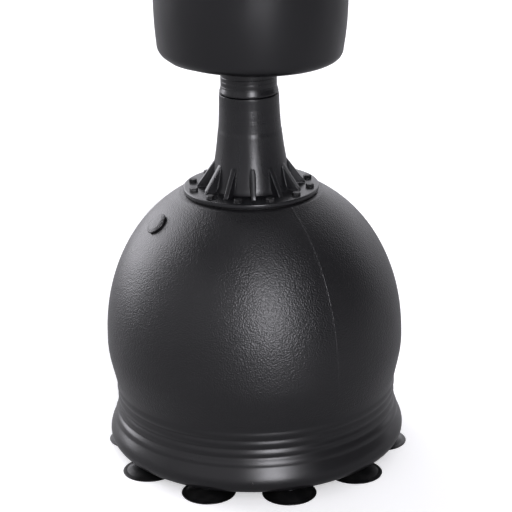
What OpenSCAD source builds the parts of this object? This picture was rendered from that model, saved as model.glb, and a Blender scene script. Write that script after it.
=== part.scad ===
// Free-standing punch bag: a ballast tank on suction cups carries a bolted neck,
// a collar and a coil spring, and the padded bag stands on that spring.
// Millimetres, +Z up, origin on the floor under the middle of the tank, front towards -Y.

/* [Tank] */
// Greatest radius of the dome
tank_r = 265.5; // [262:0.5:268]
// Height of the dome's widest ring
tank_wide_z = 213; // [200:1:225]
// Height of the flat land under the neck
tank_top_z = 484; // [478:1:490]
// Height of the tank's underside
tank_bottom_z = 18; // [16:1:22]
// Rise of the dome's curve above its widest ring
dome_rise = 300; // [290:1:305]
// Fullness of the dome's curve, 2 is an ellipse
dome_power = 2.15; // [2.05:0.05:2.3]
// Radius of the waist between dome and foot
waist_r = 249.8; // [246:0.2:254]
// Height of the waist
waist_z = 107; // [100:1:114]
// Greatest radius of the foot
foot_r = 267.2; // [262:0.2:270]
// Height of the foot's widest ring
foot_z = 40; // [38:1:46]
// Thickness of the blow-moulded wall
tank_wall = 5; // [4:0.5:6]
// Number of stiffening ridges round the foot
ridge_count = 4; // [3:1:4]
// Height of one ridge above the foot's curve
ridge_h = 1.8; // [1:0.2:2.4]
// Distance from one ridge to the next
ridge_pitch = 16; // [15:1:17]
// Height of the sand's surface inside the tank
sand_top_z = 170; // [120:5:200]

/* [Filler plug] */
// Direction of the filler port round the tank, from the front towards +X
plug_angle = -68; // [-75:1:-60]
// Height of the filler port's middle on the dome
plug_z = 446; // [430:1:448]
// Radius of the plug's cap
plug_r = 21; // [19:0.5:22]
// Radius of the port's hole
port_r = 16.3; // [15:0.1:17]

/* [Suction cups] */
// Radius of one cup's lip
cup_r = 47.5; // [45:0.5:50]
// Radius of the outer ring of cups
cup_ring_r = 227; // [222:1:232]
// Number of cups in the outer ring
outer_cup_count = 10; // [10:2:10]
// Direction of the first outer cup, from the front towards +X
cup_angle = 13.7; // [0:0.1:18]
// Radius of the inner ring of cups
inner_ring_r = 115; // [105:1:120]
// Number of cups in the inner ring
inner_cup_count = 5; // [5:1:5]

/* [Neck] */
// Radius of the bolting flange
flange_r = 119.5; // [117:0.5:120.5]
// Thickness of the bolting flange
flange_t = 8; // [7:0.5:10]
// Radius of the neck at its top
neck_top_r = 52.3; // [51:0.1:54]
// Widening of the neck from its top down to the flange
neck_flare = 20; // [16:1:22]
// Height of the neck's top rim
neck_top_z = 660; // [650:1:670]
// Number of gussets, and of flange bolts between them
gusset_count = 12; // [12:1:12]
// Thickness of one gusset
gusset_t = 9; // [7:0.5:10]
// Direction of the first gusset, from the front towards +X
gusset_angle = 2.5; // [0:0.5:5]
// Radius of the flange bolt circle
bolt_circle_r = 105; // [103:0.5:107]

/* [Bag] */
// Radius of the bag above its tapered foot
bag_r = 166; // [164:0.5:170]
// Height of the bag's underside
bag_bottom_z = 724; // [720:1:730]
// Height of the bag's top
bag_top_z = 1750; // [1500:10:1800]
// Radius of the recess that swings round the collar
recess_r = 72; // [72:0.5:74]
// Height of the point about which the bag sways
sway_z = 772; // [768:1:776]

/* [Hidden] */

$fn = 96;
small_fn = 48;       // facets of bolts, bores and bosses
over = 1;            // how far a cutting shape runs past the face it cuts
fit_gap = 0.05;      // radial clearance of a pin in its hole
soft_gap = 0.3;      // clearance left between a soft layer and its neighbour
charcoal = [0.17, 0.17, 0.175];
satin_black = [0.10, 0.10, 0.105];
rubber_black = [0.05, 0.05, 0.05];
bag_black = [0.13, 0.13, 0.14];
steel_grey = [0.62, 0.63, 0.65];
brass_yellow = [0.78, 0.62, 0.30];
foam_grey = [0.55, 0.56, 0.58];
sand_brown = [0.72, 0.62, 0.45];

foot_edge_r = foot_z - tank_bottom_z;
foot_power = 1.4;
first_ridge_z = 74.5;
ridges_low_z = 66;
ridges_high_z = 134;
dome_low_z = 150;
stem_r = 7;
stem_top_z = 30;
boss_r = 12;
boss_top_z = 36;
socket_top_z = 31;
port_tube_r = 21;
port_depth = 22;
cap_seat = 3;
cap_over = 3.5;
seal_t = 2;
plug_stem_depth = 18;
plug_stem_wall = 3;
cap_play = 0.5;
mouth_r = 58;
land_t = 7;
insert_r = 6;
insert_h = 14;
insert_boss_r = 10.5;
insert_boss_h = 20;
gasket_t = 2;
gasket_r = 116;
flange_top_z = tank_top_z + gasket_t + flange_t;
neck_h = neck_top_z - flange_top_z;
neck_wall = 5;
deck_t = 6;
seat_h = 1.5;
seat_r = 46;
gusset_top_z = 541;
gusset_foot_r = 95;
gusset_foot_h = 2;
flange_edge_r = 3;
neck_rings = 12;
bolt_hole_r = 4.5;
m8_r = 4;
m8_head_af = 13;
m8_head_h = 5.5;
m8_nut_h = 6.5;
thin_nut_h = 5;
thread_end = 2;
flange_bolt_len = 20;
collar_r = 49;
collar_wall = 4.5;
collar_top_z = 760;
collar_lip_r = 51.3;
collar_lip_h = 4;
collar_lip_blend = 8;
collar_floor_t = 4;
collar_hole_r = 27;
plate_t = 6;
lower_plate_r = 43.5;
lower_plate_z = neck_top_z + seat_h + collar_floor_t;
lower_bolt_circle_r = 17;
plate_bolt_count = 4;
wire_r = 5;
coil_r = 33;
coil_turns = 8;
coil_steps = 16;
coil_sides = 8;
coil_gap = 0.2;
spring_base_z = lower_plate_z + plate_t;
upper_plate_z = 2 * sway_z - spring_base_z;
upper_plate_r = 70;
upper_bolt_circle_r = 56;
recess_wall = 4;
recess_flange_r = 138;
recess_lid_z = upper_plate_z + plate_t;
recess_lid_t = 4;
recess_lid_hole_r = 38;
post_r = 24;
post_wall = 2.5;
post_top_z = bag_top_z - 60;
post_cap_h = 6;
post_cap_depth = 20;
cap_lift = 0.05;
skin_t = 1.5;
bag_edge_r = 20;
bag_taper_h = 110;
bag_taper_unit = 90;
bag_taper = 6;
foot_foam_top_z = recess_lid_z + recess_lid_t + 6;
foam_top_z = bag_top_z - 12;
cover_rim_z = bag_top_z - 8;
core_r = 110;
piping_r = 3;
outer_cup_step = 360 / outer_cup_count;
inner_cup_step = 360 / inner_cup_count;
gusset_step = 360 / gusset_count;

// Radius of the tank's outside at height z, from the foot's edge up to the dome
function ridge(z) =
    let (turn = (z - first_ridge_z) / ridge_pitch)
    turn < -0.5 || turn > ridge_count - 0.5 ? 0 : ridge_h * (1 + cos(360 * turn)) / 2;
function foot_curve(z) =
    let (share = pow((waist_z - z) / (waist_z - foot_z), foot_power))
    waist_r + (foot_r - waist_r) * (1 - cos(180 * share)) / 2;
function side_curve(z) =
    waist_r + (tank_r - waist_r) * (1 - cos(180 * (z - waist_z) / (tank_wide_z - waist_z))) / 2;
function dome_curve(z) =
    tank_r * pow(1 - pow((z - tank_wide_z) / dome_rise, dome_power), 1 / dome_power);
function tank_radius(z) =
    z < waist_z ? foot_curve(z) + ridge(z)
    : z < tank_wide_z ? side_curve(z) + ridge(z)
    : dome_curve(z);

// Points of the tank's outline from its underside up to top_z, drawn in by inset
function tank_side(inset, top_z) = concat(
    [for (a = [90 : -15 : 15])
        [foot_r - foot_edge_r + (foot_edge_r - inset) * cos(a),
         foot_z - (foot_edge_r - inset) * sin(a)]],
    [for (z = [foot_z : 10 : ridges_low_z - 1]) [tank_radius(z) - inset, z]],
    [for (z = [ridges_low_z : ridge_pitch / 4 : ridges_high_z]) [tank_radius(z) - inset, z]],
    [for (z = [dome_low_z : 15 : top_z - 1]) [tank_radius(z) - inset, z]],
    [[tank_radius(top_z) - inset, top_z]]
);

// Radius of the neck's outside at height z
function neck_radius(z) = neck_top_r + neck_flare * pow((neck_top_z - z) / neck_h, 2);

// The filler port's place on the dome, and the tilt of the dome's normal there
plug_ring_r = tank_radius(plug_z);
normal_r = pow(plug_ring_r / tank_r, dome_power - 1) / tank_r;
normal_z = pow((plug_z - tank_wide_z) / dome_rise, dome_power - 1) / dome_rise;
plug_tilt = atan2(normal_r, normal_z);

module around(angle, radius) {
    rotate([0, 0, angle]) translate([0, -radius, 0]) children();
}

module at_plug() {
    around(plug_angle, plug_ring_r)
        translate([0, 0, plug_z])
            rotate([plug_tilt, 0, 0])
                children();
}

module ring(outer, inner, bottom, top) {
    translate([0, 0, bottom]) difference() {
        cylinder(r = outer, h = top - bottom);
        translate([0, 0, -over]) cylinder(r = inner, h = top - bottom + 2 * over);
    }
}

module hexagon(across_flats, height) {
    cylinder(r = across_flats / 2 / cos(30), h = height, $fn = 6);
}

module at_cups() {
    for (i = [0 : outer_cup_count - 1])
        around(cup_angle + i * outer_cup_step, cup_ring_r) children();
    for (i = [0 : inner_cup_count - 1])
        around(i * inner_cup_step, inner_ring_r) children();
    children();
}

module tank_hollow() {
    rotate_extrude()
        polygon(concat([[0, tank_bottom_z + tank_wall]],
                       tank_side(tank_wall, tank_top_z - land_t),
                       [[0, tank_top_z - land_t]]));
}

// ---- Base ----

module tank() {
    color(charcoal) difference() {
        union() {
            difference() {
                rotate_extrude()
                    polygon(concat([[0, tank_bottom_z]],
                                   tank_side(0, tank_top_z),
                                   [[0, tank_top_z]]));
                tank_hollow();
            }
            at_cups()
                translate([0, 0, tank_bottom_z + over])
                    cylinder(r = boss_r, h = boss_top_z - tank_bottom_z - over, $fn = small_fn);
            for (i = [0 : gusset_count - 1])
                around(gusset_angle + (i + 0.5) * gusset_step, bolt_circle_r)
                    translate([0, 0, tank_top_z - insert_boss_h])
                        cylinder(r = insert_boss_r, h = insert_boss_h - over, $fn = small_fn);
            at_plug()
                translate([0, 0, -port_depth])
                    cylinder(r = port_tube_r, h = port_depth - tank_wall / 2);
        }
        translate([0, 0, tank_top_z - 2 * land_t]) cylinder(r = mouth_r, h = 3 * land_t);
        at_cups() cylinder(r = stem_r, h = socket_top_z, $fn = small_fn);
        for (i = [0 : gusset_count - 1])
            around(gusset_angle + (i + 0.5) * gusset_step, bolt_circle_r)
                translate([0, 0, tank_top_z - insert_h])
                    cylinder(r = insert_r, h = insert_h + over, $fn = small_fn);
        at_plug() translate([0, 0, -port_depth - over]) cylinder(r = port_r, h = 2 * port_depth);
        at_plug() translate([0, 0, -cap_seat]) cylinder(r = plug_r + cap_play, h = port_depth);
    }
}

module sand_ballast() {
    color(sand_brown) difference() {
        rotate_extrude()
            polygon(concat([[0, tank_bottom_z + tank_wall + soft_gap]],
                           tank_side(tank_wall + soft_gap, sand_top_z),
                           [[0, sand_top_z]]));
        at_cups() cylinder(r = boss_r + soft_gap, h = boss_top_z + soft_gap, $fn = small_fn);
    }
}

module filler_plug() {
    color(charcoal) at_plug() {
        translate([0, 0, seal_t - cap_seat]) rotate_extrude()
            polygon([[0, 0], [plug_r, 0], [plug_r, cap_over - 1],
                     [plug_r - 1, cap_over], [plug_r - 5, cap_over + 0.9],
                     [plug_r / 2, cap_over + 1.5], [0, cap_over + 1.8]]);
        translate([0, 0, -plug_stem_depth]) difference() {
            cylinder(r = port_r - fit_gap, h = plug_stem_depth - cap_seat + seal_t + over / 2);
            translate([0, 0, -over])
                cylinder(r = port_r - plug_stem_wall, h = plug_stem_depth - cap_seat);
        }
    }
}

module plug_seal() {
    color(rubber_black) at_plug() ring(plug_r - 1, port_r, -cap_seat, seal_t - cap_seat);
}

module threaded_inserts() {
    color(brass_yellow)
        for (i = [0 : gusset_count - 1])
            around(gusset_angle + (i + 0.5) * gusset_step, bolt_circle_r)
                ring(insert_r, m8_r, tank_top_z - insert_h, tank_top_z, $fn = small_fn);
}

// One suction cup: a thin dished skirt on a stem that plugs into the tank
module suction_cup() {
    color(rubber_black) rotate_extrude()
        polygon([[0, 9], [12, 7.5], [28, 4], [42, 0], [cup_r, 0],
                 [cup_r, 1.6], [30, 7.5], [16, 12.5], [13, tank_bottom_z - 0.2],
                 [stem_r - fit_gap, tank_bottom_z - 0.2], [stem_r - fit_gap, stem_top_z],
                 [0, stem_top_z]]);
}

module outer_cup(i) {
    around(cup_angle + (i - 1) * outer_cup_step, cup_ring_r) suction_cup();
}

module inner_cup(i) {
    around((i - 1) * inner_cup_step, inner_ring_r) suction_cup();
}

// ---- Neck ----

module neck_gasket() {
    color(rubber_black) difference() {
        ring(gasket_r, mouth_r, tank_top_z, tank_top_z + gasket_t);
        for (i = [0 : gusset_count - 1])
            around(gusset_angle + (i + 0.5) * gusset_step, bolt_circle_r)
                translate([0, 0, tank_top_z - over])
                    cylinder(r = bolt_hole_r, h = gasket_t + 2 * over, $fn = small_fn);
    }
}

module gusset() {
    rotate([90, 0, -90])
        translate([0, 0, -gusset_t / 2])
            linear_extrude(height = gusset_t)
                polygon([[neck_radius(flange_top_z) - neck_wall, flange_top_z - over],
                         [gusset_foot_r, flange_top_z - over],
                         [gusset_foot_r, flange_top_z + gusset_foot_h],
                         [neck_radius(gusset_top_z), gusset_top_z],
                         [neck_radius(gusset_top_z) - neck_wall, gusset_top_z]]);
}

module neck() {
    spigot_r = mouth_r - fit_gap;
    spigot_z = tank_top_z - land_t;
    color(satin_black) difference() {
        union() {
            rotate_extrude()
                polygon(concat([[0, spigot_z], [spigot_r, spigot_z],
                                [spigot_r, tank_top_z + gasket_t],
                                [flange_r, tank_top_z + gasket_t]],
                               [for (a = [0 : 22.5 : 90])
                                   [flange_r - flange_edge_r * (1 - cos(a)),
                                    flange_top_z - flange_edge_r * (1 - sin(a))]],
                               [for (z = [flange_top_z : neck_h / neck_rings : neck_top_z + 0.01])
                                   [neck_radius(z), z]],
                               [[seat_r, neck_top_z], [seat_r, neck_top_z + seat_h],
                                [0, neck_top_z + seat_h]]));
            for (i = [0 : gusset_count - 1])
                rotate([0, 0, gusset_angle + i * gusset_step]) gusset();
        }
        rotate_extrude()
            polygon(concat([[0, spigot_z + neck_wall], [spigot_r - neck_wall, spigot_z + neck_wall]],
                           [for (z = [flange_top_z : neck_h / neck_rings : neck_top_z - deck_t])
                               [neck_radius(z) - neck_wall, z]],
                           [[neck_top_r - neck_wall, neck_top_z - deck_t],
                            [0, neck_top_z - deck_t]]));
        for (i = [0 : gusset_count - 1])
            around(gusset_angle + (i + 0.5) * gusset_step, bolt_circle_r)
                translate([0, 0, tank_top_z]) cylinder(r = bolt_hole_r, h = 3 * flange_t, $fn = small_fn);
        at_plate_bolts(lower_bolt_circle_r)
            translate([0, 0, neck_top_z - 2 * deck_t])
                cylinder(r = bolt_hole_r, h = 4 * deck_t, $fn = small_fn);
    }
}

// Hexagon bolt with its head's underside at z = 0 and its shank going down
module hex_bolt(shank) {
    hexagon(m8_head_af, m8_head_h);
    translate([0, 0, -shank]) cylinder(r = m8_r - fit_gap, h = shank + over / 2, $fn = small_fn);
}

module flange_bolts() {
    color(rubber_black)
        for (i = [0 : gusset_count - 1])
            around(gusset_angle + (i + 0.5) * gusset_step, bolt_circle_r)
                translate([0, 0, flange_top_z]) hex_bolt(flange_bolt_len);
}

// ---- Spring unit ----

module at_plate_bolts(radius) {
    for (i = [0 : plate_bolt_count - 1])
        around(45 + i * 90, radius) children();
}

module collar() {
    lip_z = neck_top_z + seat_h;
    color(satin_black) rotate_extrude()
        polygon([[collar_hole_r, lip_z], [collar_lip_r - 1, lip_z], [collar_lip_r, lip_z + 1],
                 [collar_lip_r, lip_z + collar_lip_h],
                 [collar_r, lip_z + collar_lip_h + collar_lip_blend], [collar_r, collar_top_z - 2],
                 [collar_r - 2, collar_top_z], [collar_r - collar_wall, collar_top_z],
                 [collar_r - collar_wall, lip_z + collar_floor_t],
                 [collar_hole_r, lip_z + collar_floor_t]]);
}

module lower_spring_plate() {
    color(steel_grey) difference() {
        union() {
            translate([0, 0, lower_plate_z]) cylinder(r = lower_plate_r, h = plate_t);
            translate([0, 0, neck_top_z + seat_h])
                cylinder(r = collar_hole_r - fit_gap, h = collar_floor_t + over);
        }
        at_plate_bolts(lower_bolt_circle_r)
            translate([0, 0, neck_top_z]) cylinder(r = bolt_hole_r, h = 4 * plate_t, $fn = small_fn);
    }
}

module lower_plate_bolts() {
    color(steel_grey) at_plate_bolts(lower_bolt_circle_r)
        translate([0, 0, spring_base_z])
            hex_bolt(spring_base_z - neck_top_z + deck_t + m8_nut_h + thread_end);
}

module lower_plate_nuts() {
    color(steel_grey) at_plate_bolts(lower_bolt_circle_r)
        translate([0, 0, neck_top_z - deck_t - m8_nut_h]) difference() {
            hexagon(m8_head_af, m8_nut_h);
            translate([0, 0, -over]) cylinder(r = m8_r, h = m8_nut_h + 2 * over, $fn = small_fn);
        }
}

// Height of the coil's wire centre after so many turns, with one closed turn at each end
function coil_z(turn) =
    let (low = spring_base_z + wire_r + coil_gap,
         high = upper_plate_z - wire_r - coil_gap,
         closed = 2 * wire_r,
         open_rise = high - low - 2 * closed)
    turn < 1 ? low + closed * turn
    : turn > coil_turns - 1 ? high - closed * (coil_turns - turn)
    : low + closed + open_rise * (turn - 1) / (coil_turns - 2);

function coil_point(ring_no, side_no) =
    let (a = 360 * ring_no / coil_steps,
         b = 360 * side_no / coil_sides,
         r = coil_r + wire_r * cos(b))
    [r * cos(a), r * sin(a), coil_z(ring_no / coil_steps) + wire_r * sin(b)];

module coil_spring() {
    rings = coil_turns * coil_steps;
    corners = [for (k = [0 : rings]) for (s = [0 : coil_sides - 1]) coil_point(k, s)];
    sides = [for (k = [0 : rings - 1]) for (s = [0 : coil_sides - 1])
        let (t = (s + 1) % coil_sides, low = k * coil_sides, high = low + coil_sides)
        [low + s, high + s, high + t, low + t]];
    start_cap = [[for (s = [0 : coil_sides - 1]) s]];
    end_cap = [[for (s = [coil_sides - 1 : -1 : 0]) rings * coil_sides + s]];
    color(steel_grey) polyhedron(points = corners, faces = concat(sides, start_cap, end_cap));
}

// ---- Bag ----

module upper_spring_plate() {
    color(steel_grey) difference() {
        translate([0, 0, upper_plate_z]) cylinder(r = upper_plate_r, h = plate_t);
        at_plate_bolts(upper_bolt_circle_r)
            translate([0, 0, upper_plate_z - over])
                cylinder(r = bolt_hole_r, h = plate_t + 2 * over, $fn = small_fn);
    }
}

// Rigid cup in the bag's foot: a flange under the foam, a wall round the recess, a bolted lid
module recess_cup() {
    color(satin_black) difference() {
        rotate_extrude()
            polygon([[recess_r, bag_bottom_z + skin_t], [recess_flange_r, bag_bottom_z + skin_t],
                     [recess_flange_r, bag_bottom_z + skin_t + recess_wall],
                     [recess_r + recess_wall, bag_bottom_z + skin_t + recess_wall],
                     [recess_r + recess_wall, recess_lid_z + recess_lid_t],
                     [recess_lid_hole_r, recess_lid_z + recess_lid_t],
                     [recess_lid_hole_r, recess_lid_z], [recess_r, recess_lid_z]]);
        at_plate_bolts(upper_bolt_circle_r)
            translate([0, 0, recess_lid_z - over])
                cylinder(r = bolt_hole_r, h = recess_lid_t + 2 * over, $fn = small_fn);
    }
}

module upper_plate_bolts() {
    color(steel_grey) at_plate_bolts(upper_bolt_circle_r)
        translate([0, 0, upper_plate_z]) rotate([180, 0, 0])
            hex_bolt(plate_t + recess_lid_t + thin_nut_h + over / 2);
}

module upper_plate_nuts() {
    color(steel_grey) at_plate_bolts(upper_bolt_circle_r)
        translate([0, 0, recess_lid_z + recess_lid_t]) difference() {
            hexagon(m8_head_af, thin_nut_h);
            translate([0, 0, -over]) cylinder(r = m8_r, h = thin_nut_h + 2 * over, $fn = small_fn);
        }
}

module post() {
    color(steel_grey) ring(post_r, post_r - post_wall, recess_lid_z, post_top_z);
}

module post_cap() {
    color(satin_black) {
        translate([0, 0, post_top_z + cap_lift]) cylinder(r = post_r, h = post_cap_h - cap_lift);
        translate([0, 0, post_top_z - post_cap_depth])
            cylinder(r = post_r - post_wall - fit_gap, h = post_cap_depth + over);
    }
}

// Radius of the cover's outside at height z above its rounded lower edge
function bag_radius(z) =
    bag_r - bag_taper * pow(max(0, (bag_bottom_z + bag_taper_h - z) / bag_taper_unit), 2);

// Outline of the bag from the edge of its bottom panel up to top_z, drawn in by inset
function bag_side(inset, top_z) =
    let (edge_z = bag_bottom_z + bag_edge_r,
         edge_r = bag_radius(edge_z) - bag_edge_r)
    concat(
        [for (a = [75 : -15 : 0])
            [edge_r + (bag_edge_r - inset) * cos(a), edge_z - (bag_edge_r - inset) * sin(a)]],
        [for (z = [edge_z + 15 : 15 : bag_bottom_z + bag_taper_h]) [bag_radius(z) - inset, z]],
        [[bag_r - inset, top_z]]
    );

module foot_foam() {
    inner = recess_r + recess_wall + soft_gap;
    low = bag_bottom_z + skin_t + recess_wall + soft_gap;
    color(foam_grey) rotate_extrude()
        polygon(concat([[inner, low], [recess_flange_r, low]],
                       [for (p = bag_side(skin_t + soft_gap, foot_foam_top_z)) if (p[1] > low) p],
                       [[inner, foot_foam_top_z]]));
}

module foam_core() {
    color(foam_grey)
        ring(core_r, post_r + soft_gap, foot_foam_top_z + soft_gap, post_top_z + post_cap_h);
}

module foam_wrap() {
    color(foam_grey) difference() {
        translate([0, 0, foot_foam_top_z + soft_gap])
            cylinder(r = bag_r - skin_t - soft_gap, h = foam_top_z - foot_foam_top_z - soft_gap);
        translate([0, 0, foot_foam_top_z - over])
            cylinder(r = core_r + soft_gap,
                     h = post_top_z + post_cap_h - foot_foam_top_z + over + soft_gap);
    }
}

module cover_side() {
    outside = bag_side(0, cover_rim_z);
    inside = bag_side(skin_t, cover_rim_z);
    color(bag_black) rotate_extrude()
        polygon(concat(outside, [for (i = [len(inside) - 1 : -1 : 0]) inside[i]]));
}

module cover_bottom() {
    seam_r = bag_side(0, bag_top_z)[0][0] - 1;
    color(bag_black) ring(seam_r, recess_r, bag_bottom_z, bag_bottom_z + skin_t - fit_gap);
}

module cover_top() {
    low = foam_top_z + soft_gap;
    color(bag_black) rotate_extrude()
        polygon([[0, low], [bag_r - skin_t - soft_gap, low], [bag_r - skin_t - soft_gap, low + 3],
                 [bag_r - 7, low + 3.5], [bag_r - 12, bag_top_z - 3],
                 [bag_r / 2, bag_top_z - 1], [0, bag_top_z]]);
}

module top_piping() {
    color(bag_black) translate([0, 0, cover_rim_z + piping_r])
        rotate_extrude() translate([bag_r - piping_r, 0]) circle(r = piping_r, $fn = 32);
}

tank();
sand_ballast();
filler_plug();
plug_seal();
threaded_inserts();
for (i = [1 : outer_cup_count])
    outer_cup(i);
for (i = [1 : inner_cup_count])
    inner_cup(i);
suction_cup();  // centre_cup
neck_gasket();
neck();
flange_bolts();
collar();
lower_spring_plate();
lower_plate_bolts();
lower_plate_nuts();
coil_spring();
upper_spring_plate();
recess_cup();
upper_plate_bolts();
upper_plate_nuts();
post();
post_cap();
foot_foam();
foam_core();
foam_wrap();
cover_side();
cover_bottom();
cover_top();
top_piping();
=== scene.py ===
"""Looks of the free-standing punch bag: visible pieces, materials, camera and studio light.

Lengths are in metres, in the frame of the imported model: +Z up, floor at z = 0, front towards -Y.
"""
import math
import random

import bmesh
import bpy
from mathutils import Matrix, Vector, noise
from mathutils.bvhtree import BVHTree


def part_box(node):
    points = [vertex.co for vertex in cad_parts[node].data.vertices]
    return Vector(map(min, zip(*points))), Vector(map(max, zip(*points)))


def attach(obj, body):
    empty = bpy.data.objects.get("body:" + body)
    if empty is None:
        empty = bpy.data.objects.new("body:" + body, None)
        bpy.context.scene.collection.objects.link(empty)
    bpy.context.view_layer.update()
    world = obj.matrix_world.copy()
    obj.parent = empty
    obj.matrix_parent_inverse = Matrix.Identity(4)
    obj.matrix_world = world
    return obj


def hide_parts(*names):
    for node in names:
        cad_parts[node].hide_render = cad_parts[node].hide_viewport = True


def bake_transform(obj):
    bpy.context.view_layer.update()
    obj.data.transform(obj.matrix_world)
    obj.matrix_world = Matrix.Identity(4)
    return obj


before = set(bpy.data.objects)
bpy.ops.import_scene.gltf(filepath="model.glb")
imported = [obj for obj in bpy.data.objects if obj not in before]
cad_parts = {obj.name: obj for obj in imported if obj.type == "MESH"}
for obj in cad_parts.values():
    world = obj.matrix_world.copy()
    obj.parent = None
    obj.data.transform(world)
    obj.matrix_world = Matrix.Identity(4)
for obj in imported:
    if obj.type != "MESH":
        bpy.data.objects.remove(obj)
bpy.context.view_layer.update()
random.seed(11)

TAU = 2 * math.pi

# ---------------------------------------------------------------- camera

CAMERA_DISTANCE = 3.0
CAMERA_HEIGHT = 1.433
CAMERA_PITCH = 0.3437
CAMERA_ROLL = -0.023
CAMERA_PAN = 0.0019
FOCAL_LENGTH = 125.5


def make_camera():
    data = bpy.data.cameras.new("camera")
    data.lens = FOCAL_LENGTH
    data.sensor_width = 36.0
    data.clip_end = 60.0
    camera = bpy.data.objects.new("camera", data)
    bpy.context.scene.collection.objects.link(camera)
    aim = Matrix.Rotation(-CAMERA_PAN, 4, "Z") @ Matrix.Rotation(math.pi / 2 - CAMERA_PITCH, 4, "X")
    place = Matrix.Translation((0.0, -CAMERA_DISTANCE, CAMERA_HEIGHT))
    camera.matrix_world = place @ aim @ Matrix.Rotation(CAMERA_ROLL, 4, "Z")
    bpy.context.scene.camera = camera


make_camera()

# ---------------------------------------------------------------- sizes

# Tank, as the CAD solid is drawn
TANK_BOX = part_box("tank")
TANK_BOTTOM = TANK_BOX[0][2]
TANK_TOP = TANK_BOX[1][2]
TANK_R = 0.2655
TANK_WIDE_Z = 0.213
DOME_RISE = 0.300
DOME_POWER = 2.15
SEAM_LIFT = 0.00045
WAIST_R = 0.2498
WAIST_Z = 0.107
FOOT_R = 0.2672
FOOT_Z = 0.040
FOOT_POWER = 1.4
MOUTH_R = 0.058
MOUTH_DEPTH = 0.007
SEAM_WIDTH = 0.0008
SEAM_FADE_Z = 0.17
RIDGE_COUNT = 4
FIRST_RIDGE_Z = 0.0745
RIDGE_PITCH = 0.016
RIDGE_H = 0.0018
RIDGE_FULLNESS = 0.62
SEAM_ANGLE = math.radians(32.0)

# Filler plug
PLUG_ANGLE = math.radians(-68.0)
PLUG_Z = 0.446
PLUG_R = 0.021
PORT_R = 0.0163

# Neck and collar
FLANGE_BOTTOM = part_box("neck_gasket")[1][2]
FLANGE_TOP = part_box("flange_bolts")[1][2] - 0.0055
FLANGE_R = 0.1195
NECK_TOP = 0.660
NECK_TOP_R = 0.0523
NECK_FLARE = 0.020
NECK_SEAT_R = 0.046
GUSSET_COUNT = 12
GUSSET_ANGLE = math.radians(2.5)
GUSSET_T = 0.009
GUSSET_TOP = 0.541
GUSSET_FOOT_R = 0.095
BOLT_CIRCLE_R = 0.105
COLLAR_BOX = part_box("collar")

# Suction cups
CUP_R = 0.0475
CUP_TOP = 0.030
CUP_STEM_R = 0.0069

# Bag
BAG_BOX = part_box("cover_side")
BAG_R = BAG_BOX[1][0]
BAG_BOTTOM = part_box("cover_bottom")[0][2]
BAG_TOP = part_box("cover_top")[1][2]
RECESS_R = 0.072


# ---------------------------------------------------------------- mesh helpers

def link_mesh(name, build, body, materials, smooth_angle=40.0):
    """Makes a piece from a bmesh, smooths it, gives it its materials and body."""
    build.normal_update()
    mesh = bpy.data.meshes.new(name)
    build.to_mesh(mesh)
    build.free()
    for face in mesh.polygons:
        face.use_smooth = True
    mesh.set_sharp_from_angle(angle=math.radians(smooth_angle))
    for material in materials:
        mesh.materials.append(material)
    piece = bpy.data.objects.new(name, mesh)
    bpy.context.scene.collection.objects.link(piece)
    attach(piece, body)
    return piece


def rounded(corners, steps=4):
    """Turns corners (r, z, fillet radius) of an outline into points, each fillet as an arc."""
    points = []
    for k, (r, z, fillet) in enumerate(corners):
        here = Vector((r, z))
        if fillet == 0 or k in (0, len(corners) - 1):
            points.append(here)
            continue
        before = (Vector(corners[k - 1][:2]) - here)
        after = (Vector(corners[k + 1][:2]) - here)
        turn = before.angle(after)
        reach = min(fillet / math.tan(turn / 2), before.length * 0.49, after.length * 0.49)
        start = here + before.normalized() * reach
        end = here + after.normalized() * reach
        for step in range(steps + 1):
            t = step / steps
            points.append(start * (1 - t) ** 2 + here * 2 * t * (1 - t) + end * t ** 2)
    return points


def lathe(build, points, columns, shape=None):
    """Revolves outline points (r, z) about Z. columns is a count or a list of angles; shape moves a point."""
    angles = [TAU * k / columns for k in range(columns)] if isinstance(columns, int) else columns
    rings = []
    for r, z in points:
        if r < 1e-6:
            rings.append([build.verts.new((0.0, 0.0, z))])
            continue
        ring = []
        for a in angles:
            place = Vector((r * math.sin(a), -r * math.cos(a), z))
            ring.append(build.verts.new(shape(place, a) if shape else place))
        rings.append(ring)
    count = len(angles)
    for low, high in zip(rings, rings[1:]):
        for k in range(count):
            n = (k + 1) % count
            if len(low) == 1 and len(high) == 1:
                continue
            if len(low) == 1:
                corners = (low[0], high[n], high[k])
            elif len(high) == 1:
                corners = (low[k], low[n], high[0])
            else:
                corners = (low[k], low[n], high[n], high[k])
            build.faces.new(corners)
    return rings


def outward(angle):
    """Points straight out of the axis, at an angle from the front towards +X."""
    return Vector((math.sin(angle), -math.cos(angle), 0.0))


def cross_faces(build, low, high):
    """Joins two closed rings of points with faces."""
    count = len(low)
    for k in range(count):
        n = (k + 1) % count
        build.faces.new((low[k], low[n], high[n], high[k]))


def add_part(build, part, place):
    """Moves a part to its place and adds it to the build."""
    bmesh.ops.transform(part, matrix=place, verts=part.verts)
    mesh = bpy.data.meshes.new("part")
    part.to_mesh(mesh)
    part.free()
    build.from_mesh(mesh)
    bpy.data.meshes.remove(mesh)


def turned(angle, radius=0.0, z=0.0):
    """Places a shape at an angle from the front towards +X, at a radius and a height."""
    return Matrix.Rotation(angle, 4, "Z") @ Matrix.Translation((0.0, -radius, z))


# ---------------------------------------------------------------- materials

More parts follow.
